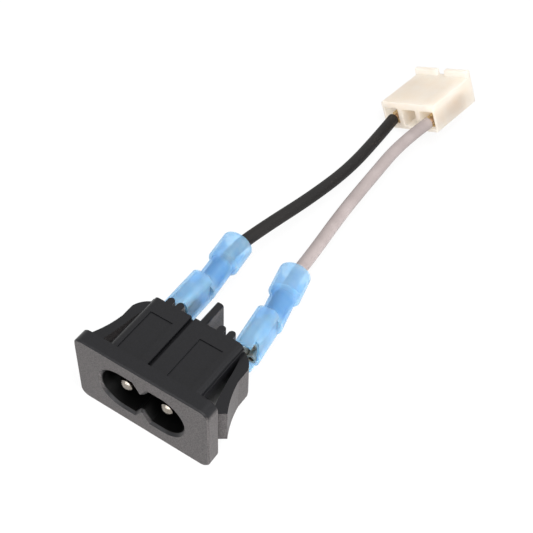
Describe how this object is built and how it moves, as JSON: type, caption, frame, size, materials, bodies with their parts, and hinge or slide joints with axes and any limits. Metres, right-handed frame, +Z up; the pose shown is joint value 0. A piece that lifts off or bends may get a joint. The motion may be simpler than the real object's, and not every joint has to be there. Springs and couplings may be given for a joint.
{
  "type": "figure-8 appliance inlet with leads",
  "caption": "Snap-in figure-8 appliance inlet with insulated leads, blue terminal sleeves and an ivory plug housing at the far end.",
  "frame": {"origin": "middle of the flange's back face, which seats on the front of the panel", "axes": "+Y points back through the panel, +X to the right seen from the front, +Z up"},
  "size_m": [0.0292, 0.1098, 0.016],
  "materials": {
    "black_plastic": "fine moulded texture",
    "nickel_plate": "polished",
    "tinned_brass": "satin",
    "blue_nylon": "translucent, satin",
    "black_insulation": "satin",
    "white_insulation": "satin",
    "tinned_copper": "satin",
    "contact_brass": "satin",
    "ivory_plastic": "translucent, satin"
  },
  "bodies": {
    "root": {"housing": "black_plastic", "contact_pin_left": "nickel_plate", "contact_pin_right": "nickel_plate", "blade_left": "tinned_brass", "blade_right": "tinned_brass", "receptacle_left": "tinned_brass", "receptacle_right": "tinned_brass", "sleeve_left": "blue_nylon", "sleeve_right": "blue_nylon", "wire_black": "black_insulation", "wire_white": "white_insulation", "strands_left_socket": "tinned_copper", "strands_right_socket": "tinned_copper", "strands_left_plug": "tinned_copper", "strands_right_plug": "tinned_copper", "plug_contact_left": "contact_brass", "plug_contact_right": "contact_brass", "plug_housing": "ivory_plastic"}
  },
  "joints": []
}
